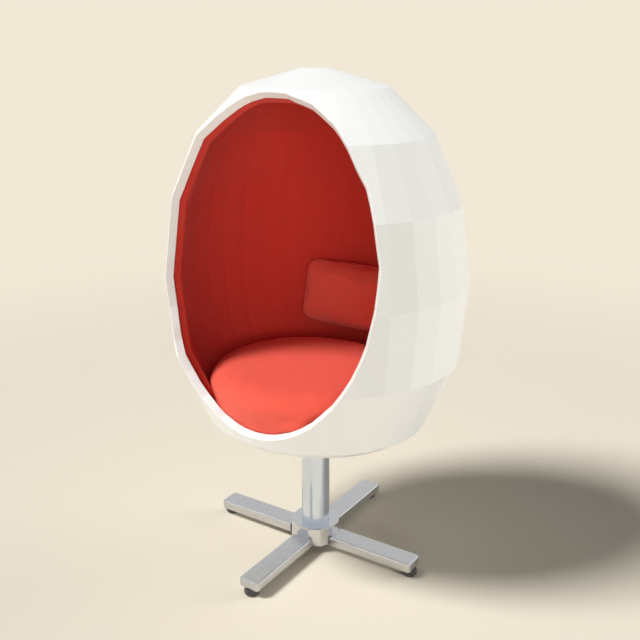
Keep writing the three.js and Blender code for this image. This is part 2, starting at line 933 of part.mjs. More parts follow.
// The pod: spindle, plates, shell, lining and cushions, which turn together
function makePod() {
  const pod = new THREE.Group();
  pod.add(piece('spindle', spindleSolid(), darkSteel));
  pod.add(piece('retaining_washer', retainerWasherSolid(), zincSteel));
  pod.add(piece('retaining_screw', retainerScrewSolid(), zincSteel));
  pod.add(piece('swivel_plate', swivelPlateSolid(), darkSteel));
  pod.add(piece('clamp_plate', clampPlateSolid(), zincSteel));
  const bolt = plateBoltSolid();
  for (const [place, x, y] of platePlaces()) {
    pod.add(piece(`plate_bolt_${place}`, bolt.translate([x, y, 0]), zincSteel));
  }
  pod.add(piece('shell', shellSolid(), whiteShell));
  pod.add(piece('lining', liningSolid(), redLining));
  pod.add(piece('seat_cushion', seatSolid(), redCushion));
  pod.add(piece('back_cushion', backCushionSolid(), redCushion));
  pod.add(piece('cushion_stud_left', studSolid(-stud.spread / 2), zincSteel));
  pod.add(piece('cushion_stud_right', studSolid(stud.spread / 2), zincSteel));
  return pod;
}

const chair = new THREE.Group();
chair.add(makeBase(), makePod());
chair.position.y = footprintShift;

export default chair;
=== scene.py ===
"""Looks of the pod chair: a faceted white shell with a red upholstered inside, on a polished cross base.

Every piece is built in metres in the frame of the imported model, from the boxes and meshes of its nodes.
"""

from __future__ import annotations

import json
import logging
import math
from dataclasses import dataclass, field
from enum import Enum
from typing import Callable, Iterable, Sequence

import bmesh
import bpy
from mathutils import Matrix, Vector
from mathutils.bvhtree import BVHTree

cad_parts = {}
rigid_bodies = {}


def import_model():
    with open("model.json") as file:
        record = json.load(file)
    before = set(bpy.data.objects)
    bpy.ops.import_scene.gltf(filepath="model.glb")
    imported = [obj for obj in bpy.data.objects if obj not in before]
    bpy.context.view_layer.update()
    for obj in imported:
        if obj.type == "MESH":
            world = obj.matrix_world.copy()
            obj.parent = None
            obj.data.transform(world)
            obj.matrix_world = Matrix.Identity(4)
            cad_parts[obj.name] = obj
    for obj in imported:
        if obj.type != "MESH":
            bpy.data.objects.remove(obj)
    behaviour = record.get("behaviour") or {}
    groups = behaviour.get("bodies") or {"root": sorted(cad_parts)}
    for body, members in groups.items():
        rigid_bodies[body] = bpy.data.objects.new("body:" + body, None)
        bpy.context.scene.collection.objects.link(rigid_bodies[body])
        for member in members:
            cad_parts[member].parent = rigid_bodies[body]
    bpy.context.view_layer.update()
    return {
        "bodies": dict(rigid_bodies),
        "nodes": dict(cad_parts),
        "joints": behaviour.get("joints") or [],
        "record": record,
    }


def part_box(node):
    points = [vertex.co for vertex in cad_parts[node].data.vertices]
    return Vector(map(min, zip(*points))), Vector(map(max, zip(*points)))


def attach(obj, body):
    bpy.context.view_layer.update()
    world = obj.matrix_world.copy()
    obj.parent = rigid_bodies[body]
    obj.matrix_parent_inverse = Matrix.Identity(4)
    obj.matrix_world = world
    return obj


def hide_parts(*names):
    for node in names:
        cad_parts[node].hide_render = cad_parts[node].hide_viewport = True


LOG = logging.getLogger("pod_chair")
MM = 0.001
WELD = 0.02 * MM
SLIVER = 1.3 * MM
SIDES = ("right", "rear", "left", "front")
CORNERS = ("front_left", "front_right", "rear_right", "rear_left")
# The ranges that noise values are stretched from: the middle third, and most of what noise gives
NOISE_MIDDLE = (0.35, 0.65)
NOISE_MOST = (0.3, 0.7)
FLATS_WEIGHT = 100

Colour = tuple[float, float, float]


class Body(Enum):
    """The two bodies of the chair."""

    BASE = "base"
    POD = "pod"


class Reach(Enum):
    """What a lamp reaches: it lights every surface, or only glints in polished ones."""

    LIGHT = "light"
    GLINT = "glint"


class Axis(Enum):
    """An axis that a thread, a grain or a rib runs along."""

    X = 0
    Y = 1
    Z = 2


class NodeTree:
    """A node tree under construction, with short calls for what most finishes need."""

    def __init__(self, tree: bpy.types.NodeTree) -> None:
        """Starts on a tree.

        Args:
            tree: The material's or the group's tree.
        """
        self.tree = tree

    def node(self, kind: str, **settings: object) -> bpy.types.Node:
        """Adds a node.

        Args:
            kind: Its type name.
            **settings: Values of the node's own properties.

        Returns:
            The node.
        """
        made = self.tree.nodes.new(kind)
        for name, value in settings.items():
            setattr(made, name, value)
        return made

    def feed(self, socket: bpy.types.NodeSocket, value: object) -> None:
        """Links a socket into another, or sets its value.

        Args:
            socket: The input.
            value: An output socket, a number, a colour or a vector.
        """
        if isinstance(value, bpy.types.NodeSocket):
            self.tree.links.new(value, socket)
        elif isinstance(value, (tuple, list)) and socket.type == "RGBA":
            socket.default_value = (*value[:3], 1.0)
        else:
            socket.default_value = value

    def math(self, operation: str, *values: object, clamp: bool = False) -> bpy.types.NodeSocket:
        """Adds a math node.

        Args:
            operation: Its operation.
            *values: Its inputs.
            clamp: Whether the result stays between 0 and 1.

        Returns:
            Its output.
        """
        made = self.node("ShaderNodeMath", operation=operation, use_clamp=clamp)
        for socket, value in zip(made.inputs, values):
            self.feed(socket, value)
        return made.outputs[0]

    def vector(self, operation: str, *values: object) -> bpy.types.Node:
        """Adds a vector math node.

        Args:
            operation: Its operation.
            *values: Its inputs.

        Returns:
            The node, whose output depends on the operation.
        """
        made = self.node("ShaderNodeVectorMath", operation=operation)
        sockets = [made.inputs[0], made.inputs[3] if operation == "SCALE" else made.inputs[1]]
        for socket, value in zip(sockets, values):
            self.feed(socket, value)
        return made

    def spread(
        self, value: object, low: object, high: object, to: tuple[object, object]
    ) -> bpy.types.NodeSocket:
        """Maps a value from one range to another, smoothly and without passing its ends.

        Args:
            value: The value.
            low: The value that gives the first end.
            high: The value that gives the second end.
            to: The two ends.

        Returns:
            The mapped value.
        """
        made = self.node("ShaderNodeMapRange", interpolation_type="SMOOTHSTEP")
        for socket, given in zip(made.inputs, (value, low, high, *to)):
            self.feed(socket, given)
        return made.outputs[0]

    def mix(self, share: object, first: object, second: object) -> bpy.types.NodeSocket:
        """Mixes two colours.

        Args:
            share: How much of the second colour shows.
            first: The first colour.
            second: The second colour.

        Returns:
            The mixed colour.
        """
        made = self.node("ShaderNodeMix", data_type="RGBA")
        self.feed(made.inputs["Factor"], share)
        self.feed(made.inputs[6], first)
        self.feed(made.inputs[7], second)
        return made.outputs[2]

    def cloud(self, where: object, scale: object, detail: float = 3.0) -> bpy.types.NodeSocket:
        """Adds soft noise.

        Args:
            where: The coordinates.
            scale: Its scale, in noise cells a metre.
            detail: How many finer layers it has.

        Returns:
            The noise, from 0 to 1.
        """
        made = self.node("ShaderNodeTexNoise")
        self.feed(made.inputs["Vector"], where)
        self.feed(made.inputs["Scale"], scale)
        made.inputs["Detail"].default_value = detail
        return made.outputs["Fac"]


class EffectLibrary:
    """Shader node groups that several finishes share, each built once."""

    def __init__(self) -> None:
        """Starts with no group built."""
        self.built: dict[str, bpy.types.ShaderNodeTree] = {}

    def group(
        self,
        name: str,
        inputs: Sequence[tuple[str, float]],
        outputs: Sequence[str],
        fill: Callable[[NodeTree, bpy.types.Node, bpy.types.Node], None],
    ) -> bpy.types.ShaderNodeTree:
        """Gives a group, built on its first use.

        Args:
            name: The group's name.
            inputs: The names and defaults of its float inputs, after its Vector input.
            outputs: The names of its float outputs.
            fill: Fills the tree between its input and output nodes.

        Returns:
            The group's tree.
        """
        if name in self.built:
            return self.built[name]
        tree = bpy.data.node_groups.new(name, "ShaderNodeTree")
        tree.interface.new_socket("Vector", in_out="INPUT", socket_type="NodeSocketVector")
        for label, default in inputs:
            socket = tree.interface.new_socket(label, in_out="INPUT", socket_type="NodeSocketFloat")
            socket.default_value = default
        for label in outputs:
            tree.interface.new_socket(label, in_out="OUTPUT", socket_type="NodeSocketFloat")
        maker = NodeTree(tree)
        fill(maker, maker.node("NodeGroupInput"), maker.node("NodeGroupOutput"))
        self.built[name] = tree
        return tree

    def weave(self) -> bpy.types.ShaderNodeTree:
        """Gives the plain weave: crossing threads in any direction, with uneven yarn.

        Returns:
            The group's tree.
        """

        def fill(maker: NodeTree, given: bpy.types.Node, result: bpy.types.Node) -> None:
            """Crosses three sine waves, one along each axis, on slightly wandering coordinates.

            Args:
                maker: The group's tree under construction.
                given: The group's input node.
                result: The group's output node.
            """
            drift = maker.node("ShaderNodeTexNoise")
            maker.feed(drift.inputs["Vector"], given.outputs["Vector"])
            maker.feed(drift.inputs["Scale"], given.outputs["Drift Scale"])
            wander = maker.vector("SCALE", drift.outputs["Color"], given.outputs["Drift"]).outputs[0]
            moved = maker.vector("ADD", given.outputs["Vector"], wander).outputs[0]
            turns = maker.math("MULTIPLY", given.outputs["Threads"], math.tau)
            wound = maker.vector("SCALE", moved, turns).outputs[0]
            split = maker.node("ShaderNodeSeparateXYZ")
            maker.feed(split.inputs[0], wound)
            waves = [maker.math("SINE", axis) for axis in split.outputs]
            crossed = [maker.math("MULTIPLY", waves[i], waves[(i + 1) % 3]) for i in range(3)]
            total = maker.math("ADD", maker.math("ADD", crossed[0], crossed[1]), crossed[2])
            maker.feed(result.inputs["Height"], maker.spread(total, -1.0, 1.0, (0.0, 1.0)))
            yarn = maker.cloud(given.outputs["Vector"], given.outputs["Yarn Scale"], 4.0)
            maker.feed(result.inputs["Yarn"], maker.spread(yarn, *NOISE_MOST, (0.0, 1.0)))

        inputs = (("Threads", 600.0), ("Drift", 0.0006), ("Drift Scale", 45.0), ("Yarn Scale", 900.0))
        return self.group("Weave", inputs, ("Height", "Yarn"), fill)

    def patches(self) -> bpy.types.ShaderNodeTree:
        """Gives broad soft patches and fine mottling, for dye, haze and handling marks.

        Returns:
            The group's tree.
        """

        def fill(maker: NodeTree, given: bpy.types.Node, result: bpy.types.Node) -> None:
            """Lays a broad noise beside a fine one.

            Args:
                maker: The group's tree under construction.
                given: The group's input node.
                result: The group's output node.
            """
            broad = maker.cloud(given.outputs["Vector"], given.outputs["Broad Scale"], 2.0)
            fine = maker.cloud(given.outputs["Vector"], given.outputs["Fine Scale"], 5.0)
            maker.feed(result.inputs["Broad"], maker.spread(broad, *NOISE_MIDDLE, (0.0, 1.0)))
            maker.feed(result.inputs["Fine"], maker.spread(fine, *NOISE_MOST, (0.0, 1.0)))

        inputs = (("Broad Scale", 5.0), ("Fine Scale", 180.0))
        return self.group("Patches", inputs, ("Broad", "Fine"), fill)

    def grain(self) -> bpy.types.ShaderNodeTree:
        """Gives long fine lines, as polishing or drawing leaves along a metal bar.

        Returns:
            The group's tree.
        """

        def fill(maker: NodeTree, given: bpy.types.Node, result: bpy.types.Node) -> None:
            """Stretches noise along the bar.

            Args:
                maker: The group's tree under construction.
                given: The group's input node.
                result: The group's output node.
            """
            stretch = maker.node("ShaderNodeCombineXYZ")
            for socket, label in zip(stretch.inputs, ("Along X", "Along Y", "Along Z")):
                maker.feed(socket, given.outputs[label])
            drawn = maker.vector("MULTIPLY", given.outputs["Vector"], stretch.outputs[0]).outputs[0]
            maker.feed(result.inputs["Lines"], maker.cloud(drawn, 1.0, 4.0))

        inputs = (("Along X", 900.0), ("Along Y", 900.0), ("Along Z", 900.0))
        return self.group("Grain", inputs, ("Lines",), fill)

    def edges(self) -> bpy.types.ShaderNodeTree:
        """Gives a mask of the outer edges, where handling and polishing wear the finish.

        Returns:
            The group's tree.
        """

        def fill(maker: NodeTree, given: bpy.types.Node, result: bpy.types.Node) -> None:
            """Compares the true normal with one rounded over the edge, and breaks the mask with noise.

            Args:
                maker: The group's tree under construction.
                given: The group's input node.
                result: The group's output node.
            """
            rounded = maker.node("ShaderNodeBevel", samples=4)
            maker.feed(rounded.inputs["Radius"], given.outputs["Reach"])
            true = maker.node("ShaderNodeNewGeometry").outputs["Normal"]
            turn = maker.vector("DOT_PRODUCT", rounded.outputs[0], true).outputs["Value"]
            worn = maker.spread(turn, 0.995, 0.85, (0.0, 1.0))
            broken = maker.cloud(given.outputs["Vector"], given.outputs["Break Scale"], 3.0)
            kept = maker.spread(broken, *NOISE_MIDDLE, (0.35, 1.0))
            maker.feed(result.inputs["Worn"], maker.math("MULTIPLY", worn, kept, clamp=True))

        inputs = (("Reach", 0.0015), ("Break Scale", 60.0))
        return self.group("Edge Wear", inputs, ("Worn",), fill)

    def dust(self) -> bpy.types.ShaderNodeTree:
        """Gives a mask of settled dust on faces that look up.

        Returns:
            The group's tree.
        """

        def fill(maker: NodeTree, given: bpy.types.Node, result: bpy.types.Node) -> None:
            """Takes the upward share of the normal times broken noise.

            Args:
                maker: The group's tree under construction.
                given: The group's input node.
                result: The group's output node.
            """
            split = maker.node("ShaderNodeSeparateXYZ")
            maker.feed(split.inputs[0], maker.node("ShaderNodeNewGeometry").outputs["Normal"])
            upward = maker.spread(split.outputs["Z"], 0.6, 1.0, (0.0, 1.0))
            specks = maker.cloud(given.outputs["Vector"], given.outputs["Speck Scale"], 6.0)
            lying = maker.spread(specks, 0.45, 0.75, (0.0, 1.0))
            maker.feed(result.inputs["Settled"], maker.math("MULTIPLY", upward, lying, clamp=True))

        return self.group("Dust", (("Speck Scale", 220.0),), ("Settled",), fill)


class Finish:
    """A surface finish: a material whose colour, roughness and relief come from nodes."""

    def __init__(self, name: str, effects: EffectLibrary) -> None:
        """Starts a material with a Principled shader.

        Args:
            name: The material's name.
            effects: The shared node groups.
        """
        self.effects = effects
        self.material = bpy.data.materials.new(name)
        self.material.use_nodes = True
        self.tree = NodeTree(self.material.node_tree)
        self.shader = self.material.node_tree.nodes["Principled BSDF"]
        self.where = self.tree.node("ShaderNodeTexCoord").outputs["Object"]

    def effect(self, group: bpy.types.ShaderNodeTree, **values: float) -> bpy.types.Node:
        """Places a shared group in the material.

        Args:
            group: The group's tree.
            **values: Its inputs, with _ for a space.

        Returns:
            The group's node.
        """
        made = self.tree.node("ShaderNodeGroup", node_tree=group)
        self.tree.feed(made.inputs["Vector"], self.where)
        for label, value in values.items():
            self.tree.feed(made.inputs[label.replace("_", " ")], value)
        return made

    def relief(self, height: object, depth: float, below: object = None) -> bpy.types.NodeSocket:
        """Adds a bump.

        Args:
            height: The height, from 0 to 1.
            depth: What a height of 1 stands for, in metres.
            below: The normal that it is laid on, if any.

        Returns:
            The new normal.
        """
        bump = self.tree.node("ShaderNodeBump")
        bump.inputs["Distance"].default_value = depth
        self.tree.feed(bump.inputs["Height"], height)
        if below is not None:
            self.tree.feed(bump.inputs["Normal"], below)
        return bump.outputs[0]

    def set(self, **values: object) -> None:
        """Sets or feeds the shader's sockets.

        Args:
            **values: The sockets' names, with _ for a space.
        """
        for label, value in values.items():
            self.tree.feed(self.shader.inputs[label.replace("_", " ")], value)


@dataclass(frozen=True)
class Gelcoat:
    """Satin white gelcoat on a laminated shell."""

    name: str = "shell_gelcoat"
    colour: Colour = (0.89, 0.90, 0.885)
    hazed: Colour = (0.87, 0.88, 0.86)
    edge: Colour = (0.91, 0.92, 0.905)
    roughness: tuple[float, float] = (0.30, 0.42)
    ripple: float = 0.00006
    coat: float = 0.25
    coat_roughness: float = 0.22
    haze_share: float = 0.5
    edge_share: float = 0.6

    def build(self, effects: EffectLibrary) -> bpy.types.Material:
        """Makes the material.

        Args:
            effects: The shared node groups.

        Returns:
            The material.
        """
        finish = Finish(self.name, effects)
        tree = finish.tree
        haze = finish.effect(effects.patches(), Broad_Scale=2.6, Fine_Scale=70.0)
        worn = finish.effect(effects.edges(), Reach=0.003, Break_Scale=35.0)
        dulled = tree.math("MULTIPLY", haze.outputs["Broad"], self.haze_share)
        base = tree.mix(dulled, self.colour, self.hazed)
        share = tree.math("MULTIPLY", worn.outputs["Worn"], self.edge_share)
        roughness = tree.spread(haze.outputs["Fine"], 0.0, 1.0, self.roughness)
        finish.set(
            Base_Color=tree.mix(share, base, self.edge),
            Roughness=roughness,
            Coat_Weight=self.coat,
            Coat_Roughness=self.coat_roughness,
            Normal=finish.relief(haze.outputs["Fine"], self.ripple),
        )
        return finish.material


@dataclass(frozen=True)
class Upholstery:
    """Red woven wool over foam, with painted shade in the hollows of its weave and, on the lining, in upright
    bands.
    """

    name: str
    colour: Colour
    # Dark colour: real dye patches, plus painted shade in the weave's hollows and in the lining's upright
    # bands
    dark_dye_and_shade: Colour
    lit: Colour
    threads: float = 560.0
    thread_depth: float = 0.00035
    roughness: tuple[float, float] = (0.78, 0.92)
    sheen: float = 0.25
    sheen_roughness: float = 0.45
    sheen_tint: Colour = (1.0, 0.62, 0.55)
    specular: float = 0.25
    # How much painted shade the hollows between the threads get
    weave_shade_share: float = 0.5
    yarn_share: float = 0.45
    dye_share: float = 0.16
    hollow_depth: float = 0.0012
    # Upright bands of painted shade round the inside: their pitch, and how much dark colour they add
    shade_band_pitch: float = 0.0
    shade_band_share: float = 0.0

    def build(self, effects: EffectLibrary) -> bpy.types.Material:
        """Makes the material.

        Args:
            effects: The shared node groups.

        Returns:
            The material.
        """
        finish = Finish(self.name, effects)
        tree = finish.tree
        weave = finish.effect(effects.weave(), Threads=self.threads, Drift=0.0007)
        dye = finish.effect(effects.patches(), Broad_Scale=7.0, Fine_Scale=260.0)
        # The low parts of the weave take the dark colour: painted shade between the threads
        weave_shade_mix = tree.math("MULTIPLY", weave.outputs["Height"], self.weave_shade_share)
        thread = tree.mix(weave_shade_mix, self.dark_dye_and_shade, self.colour)
        yarn = tree.mix(tree.math("MULTIPLY", weave.outputs["Yarn"], self.yarn_share), thread, self.lit)
        patch = tree.mix(tree.math("MULTIPLY", dye.outputs["Broad"], self.dye_share), yarn, self.dark_dye_and_shade)
        # Upright bands of painted shade round the inside, where the finish has them
        if self.shade_band_share:
            patch = tree.mix(self.shade_bands(finish), patch, self.dark_dye_and_shade)
        normal = finish.relief(dye.outputs["Broad"], self.hollow_depth)
        finish.set(
            Base_Color=patch,
            Roughness=tree.spread(dye.outputs["Fine"], 0.0, 1.0, self.roughness),
            Sheen_Weight=self.sheen,
            Sheen_Roughness=self.sheen_roughness,
            Sheen_Tint=self.sheen_tint,
            Specular_IOR_Level=self.specular,
            Normal=finish.relief(weave.outputs["Height"], self.thread_depth, normal),
        )
        return finish.material

    def shade_bands(self, finish: Finish) -> bpy.types.NodeSocket:
        """Gives faint upright bands of painted shade round the inside.

        Args:
            finish: The finish under construction.

        Returns:
            How much of the dark colour shows, as painted shade.
        """
        tree = finish.tree
        split = tree.node("ShaderNodeSeparateXYZ")
        tree.feed(split.inputs[0], finish.where)
        turn = tree.math("ARCTAN2", split.outputs["X"], split.outputs["Y"])
        band = tree.node("ShaderNodeTexNoise", noise_dimensions="1D")
        tree.feed(band.inputs["W"], turn)
        band.inputs["Scale"].default_value = 1.0 / self.shade_band_pitch
        band.inputs["Detail"].default_value = 1.0
        return tree.spread(band.outputs["Fac"], *NOISE_MIDDLE, (0.0, self.shade_band_share))


@dataclass(frozen=True)
class Metal:
    """A bare, polished, plated or painted metal."""

    name: str
    colour: Colour
    worn: Colour
    roughness: tuple[float, float]
    along: Axis = Axis.Z
    grain_depth: float = 0.00002
    metallic: float = 1.0
    coat: float = 0.0
    dust: float = 0.12
    dust_colour: Colour = (0.62, 0.58, 0.52)
    dust_roughness: float = 0.6
    edge_colour: Colour = (0.88, 0.88, 0.88)
    edge_share: float = 0.5
    smudge_share: float = 0.35
    cells_across: float = 1100.0
    cells_along: float = 14.0

    def build(self, effects: EffectLibrary) -> bpy.types.Material:
        """Makes the material.

        Args:
            effects: The shared node groups.

        Returns:
            The material.
        """
        finish = Finish(self.name, effects)
        tree = finish.tree
        stretch = {
            f"Along_{axis.name}": self.cells_along if axis is self.along else self.cells_across
            for axis in Axis
        }
        grain = finish.effect(effects.grain(), **stretch)
        marks = finish.effect(effects.patches(), Broad_Scale=11.0, Fine_Scale=120.0)
        edges = finish.effect(effects.edges(), Reach=0.0012, Break_Scale=80.0)
        dust = finish.effect(effects.dust(), Speck_Scale=240.0)
        smudge = tree.math("MULTIPLY", marks.outputs["Broad"], self.smudge_share)
        base = tree.mix(smudge, self.colour, self.worn)
        rubbed = tree.math("MULTIPLY", edges.outputs["Worn"], self.edge_share)
        bright = tree.mix(rubbed, base, self.edge_colour)
        settled = tree.math("MULTIPLY", dust.outputs["Settled"], self.dust)
        rough = tree.spread(grain.outputs["Lines"], *NOISE_MOST, self.roughness)
        dusty = tree.math("MULTIPLY", settled, self.dust_roughness)
        rougher = tree.math("ADD", rough, dusty, clamp=True)
        finish.set(
            Base_Color=tree.mix(settled, bright, self.dust_colour),
            Metallic=self.metallic,
            Roughness=rougher,
            Coat_Weight=self.coat,
            Normal=finish.relief(grain.outputs["Lines"], self.grain_depth),
        )
        return finish.material


@dataclass(frozen=True)
class Moulded:
    """Moulded rubber or plastic."""

    name: str
    colour: Colour
    scuffed: Colour
    roughness: tuple[float, float]
    scuff_share: float = 0.4
    grit_depth: float = 0.00008

    def build(self, effects: EffectLibrary) -> bpy.types.Material:
        """Makes the material.

        Args:
            effects: The shared node groups.

        Returns:
            The material.
        """
        finish = Finish(self.name, effects)
        tree = finish.tree
        marks = finish.effect(effects.patches(), Broad_Scale=40.0, Fine_Scale=900.0)
        edges = finish.effect(effects.edges(), Reach=0.001, Break_Scale=120.0)
        rubbed = tree.math("ADD", marks.outputs["Broad"], edges.outputs["Worn"])
        scuff = tree.math("MULTIPLY", rubbed, self.scuff_share)
        finish.set(
            Base_Color=tree.mix(scuff, self.colour, self.scuffed),
            Roughness=tree.spread(marks.outputs["Fine"], 0.0, 1.0, self.roughness),
            Normal=finish.relief(marks.outputs["Fine"], self.grit_depth),
        )
        return finish.material


@dataclass(frozen=True)
class StudioFloor:
    """The pale floor, which runs into the backdrop away from the chair."""

    name: str = "studio_floor"
    colour: Colour = (0.77, 0.703, 0.587)
    fade_from: float = 1.6
    fade_to: float = 3.6

    def build(self, backdrop: Colour) -> bpy.types.Material:
        """Makes the material.

        Args:
            backdrop: The backdrop's colour.

        Returns:
            The material.
        """
        material = bpy.data.materials.new(self.name)
        material.use_nodes = True
        tree = NodeTree(material.node_tree)
        lit = material.node_tree.nodes["Principled BSDF"]
        lit.inputs["Base Color"].default_value = (*self.colour, 1.0)
        lit.inputs["Roughness"].default_value = 1.0
        lit.inputs["Specular IOR Level"].default_value = 0.0
        far = tree.node("ShaderNodeEmission")
        far.inputs["Color"].default_value = (*backdrop, 1.0)
        where = tree.node("ShaderNodeTexCoord").outputs["Object"]
        distance = tree.vector("LENGTH", where).outputs["Value"]
        blend = tree.node("ShaderNodeMixShader")
        tree.feed(blend.inputs[0], tree.spread(distance, self.fade_from, self.fade_to, (0.0, 1.0)))
        tree.feed(blend.inputs[1], lit.outputs[0])
        tree.feed(blend.inputs[2], far.outputs[0])
        tree.feed(material.node_tree.nodes["Material Output"].inputs["Surface"], blend.outputs[0])
        return material


@dataclass(frozen=True)
class Ring:
    """One ring of a turned body, round or cut to a hexagon."""

    radius: float
    height: float
    hexagon: bool = False

    def reach(self, angle: float) -> float:
        """Gives the distance from the axis in a direction.

        Args:
            angle: The direction, in radians.

        Returns:
            The distance, in metres.
        """
        if not self.hexagon:
            return self.radius
        side = math.tau / 6
        return self.radius * math.cos(side / 2) / math.cos(angle % side - side / 2)


class Workshop:
    """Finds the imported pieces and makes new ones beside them."""

    def __init__(self, frame: dict) -> None:
        """Starts on the loaded frame.
        """
        self.nodes: dict[str, bpy.types.Object] = frame["nodes"]
        self.effects = EffectLibrary()

    def add(self, name: str, mesh: bpy.types.Mesh, material: bpy.types.Material) -> bpy.types.Object:
        """Makes an object of a mesh.

        Args:
            name: The object's name.
            mesh: Its mesh, in the frame.
            material: Its finish.

        Returns:
            The object.
        """
        made = bpy.data.objects.new(name, mesh)
        mesh.materials.clear()
        mesh.materials.append(material)
        bpy.context.scene.collection.objects.link(made)
        return made

    def facets(self, node: str, flat_angle: float) -> bmesh.types.BMesh:
        """Copies a node's mesh with its flat faces made whole.

        Args:
            node: The node's name.
            flat_angle: The angle under which two faces are one, in radians.

        Returns:
            The mesh under construction.
        """
        form = bmesh.new()
        form.from_mesh(self.nodes[node].data)
        bmesh.ops.remove_doubles(form, verts=form.verts, dist=WELD)
        bmesh.ops.dissolve_limit(form, angle_limit=flat_angle, verts=form.verts, edges=form.edges)
        bmesh.ops.remove_doubles(form, verts=form.verts, dist=SLIVER)
        return form

    def soften(self, form: bmesh.types.BMesh, low: float, high: float, width: float, steps: int) -> None:
        """Rounds the edges whose faces meet at an angle within a range.

        Args:
            form: The mesh under construction.
            low: The smallest angle, in degrees.
            high: The largest angle, in degrees.
            width: How far from the edge the rounding starts, in metres.
            steps: How many faces it has.
        """
        picked = []
        for edge in form.edges:
            if len(edge.link_faces) == 2 and low <= math.degrees(edge.calc_face_angle(0.0)) < high:
                picked.append(edge)
        bmesh.ops.bevel(
            form, geom=picked, offset=width, offset_type="OFFSET", segments=steps, profile=0.5, affect="EDGES"
        )

    def finish_mesh(self, form: bmesh.types.BMesh, name: str) -> bpy.types.Mesh:
        """Turns a mesh under construction into a smooth-shaded mesh.

        Args:
            form: The mesh under construction, which is freed.
            name: The mesh's name.

        Returns:
            The mesh.
        """
        bmesh.ops.recalc_face_normals(form, faces=form.faces)
        mesh = bpy.data.meshes.new(name)
        form.to_mesh(mesh)
        form.free()
        mesh.shade_smooth()
        return mesh

    def keep_flats(self, piece: bpy.types.Object) -> None:
        """Lets the large faces set the normals, so that they look flat beside rounded edges.

        Args:
            piece: The piece.
        """
        modifier = piece.modifiers.new("flats", "WEIGHTED_NORMAL")
        modifier.weight = FLATS_WEIGHT
        modifier.keep_sharp = True

    def apply(self, piece: bpy.types.Object) -> None:
        """Replaces a piece's mesh by what its modifiers make of it, and drops them.

        Args:
            piece: The piece.
        """
        evaluated = piece.evaluated_get(bpy.context.evaluated_depsgraph_get())
        mesh = bpy.data.meshes.new_from_object(evaluated)
        materials = list(piece.data.materials)
        piece.modifiers.clear()
        piece.data = mesh
        mesh.materials.clear()
        for material in materials:
            mesh.materials.append(material)

    def turned(
        self, name: str, section: Sequence[Ring], centre: Vector, sides: int, sharp_degrees: float
    ) -> bpy.types.Mesh:
        """Makes a closed turned body.

        Args:
            name: The mesh's name.
            section: Its rings, in order along its skin.
            centre: The point of its axis that the heights are measured from.
            sides: How many sides it has.
            sharp_degrees: The angle from which an edge stays sharp.

        Returns:
            The mesh.
        """
        form = bmesh.new()
        rings = []
        for step in section:
            ring = []
            for i in range(sides):
                angle = math.tau * i / sides
                reach = step.reach(angle)
                offset = Vector((reach * math.cos(angle), reach * math.sin(angle), step.height))
                ring.append(form.verts.new(centre + offset))
            rings.append(ring)
        for lower, upper in zip(rings, rings[1:]):
            for i in range(sides):
                j = (i + 1) % sides
                form.faces.new((lower[i], lower[j], upper[j], upper[i]))
        form.faces.new(list(reversed(rings[0])))
        form.faces.new(rings[-1])
        mesh = self.finish_mesh(form, name)
        mesh.set_sharp_from_angle(angle=math.radians(sharp_degrees))
        return mesh


@dataclass
class Shell:
    """The faceted laminated shell."""

    workshop: Workshop
    finish: Gelcoat = field(default_factory=Gelcoat)
    rounding: float = 1.5 * MM
    steps: int = 2
    flat_degrees: float = 0.6
    corner_degrees: float = 2.5

    def build(self) -> bpy.types.Object:
        """Makes the shell with softened corners between its flat facets.

        Returns:
            The piece.
        """
        shop = self.workshop
        form = shop.facets("shell", math.radians(self.flat_degrees))
        shop.soften(form, self.corner_degrees, 180.0, self.rounding, self.steps)
        mesh = shop.finish_mesh(form, "shell_skin")
        piece = shop.add("shell_skin", mesh, self.finish.build(shop.effects))
        shop.keep_flats(piece)
        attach(piece, Body.POD.value)
        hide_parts("shell")
        return piece


@dataclass
class Lining:
    """The upholstered lining inside the shell."""

    workshop: Workshop
    finish: Upholstery = field(
        default_factory=lambda: Upholstery(
            name="lining_wool",
            colour=(0.69, 0.058, 0.040),
            dark_dye_and_shade=(0.60, 0.042, 0.028),
            lit=(0.76, 0.074, 0.052),
            # Upright bands of painted shade round the inside
            shade_band_pitch=0.05,
            shade_band_share=0.22,
        )
    )
    edge_rounding: float = 3.0 * MM
    steps: int = 3
    flat_degrees: float = 0.6
    edge_degrees: float = 4.0
    fill: float = 0.9

    def build(self) -> bpy.types.Object:
        """Makes the lining with a rounded edge.

        Returns:
            The piece.
        """
        shop = self.workshop
        form = shop.facets("lining", math.radians(self.flat_degrees))
        shop.soften(form, self.edge_degrees, 180.0, self.edge_rounding, self.steps)
        mesh = shop.finish_mesh(form, "lining_pad")
        piece = shop.add("lining_pad", mesh, self.finish.build(shop.effects))
        shop.keep_flats(piece)
        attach(piece, Body.POD.value)
        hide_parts("lining")
        return piece


@dataclass(frozen=True)
class Seam:
    """A seam round a cushion, in the plane through a point and square to a direction."""

    point: Vector
    across: Vector


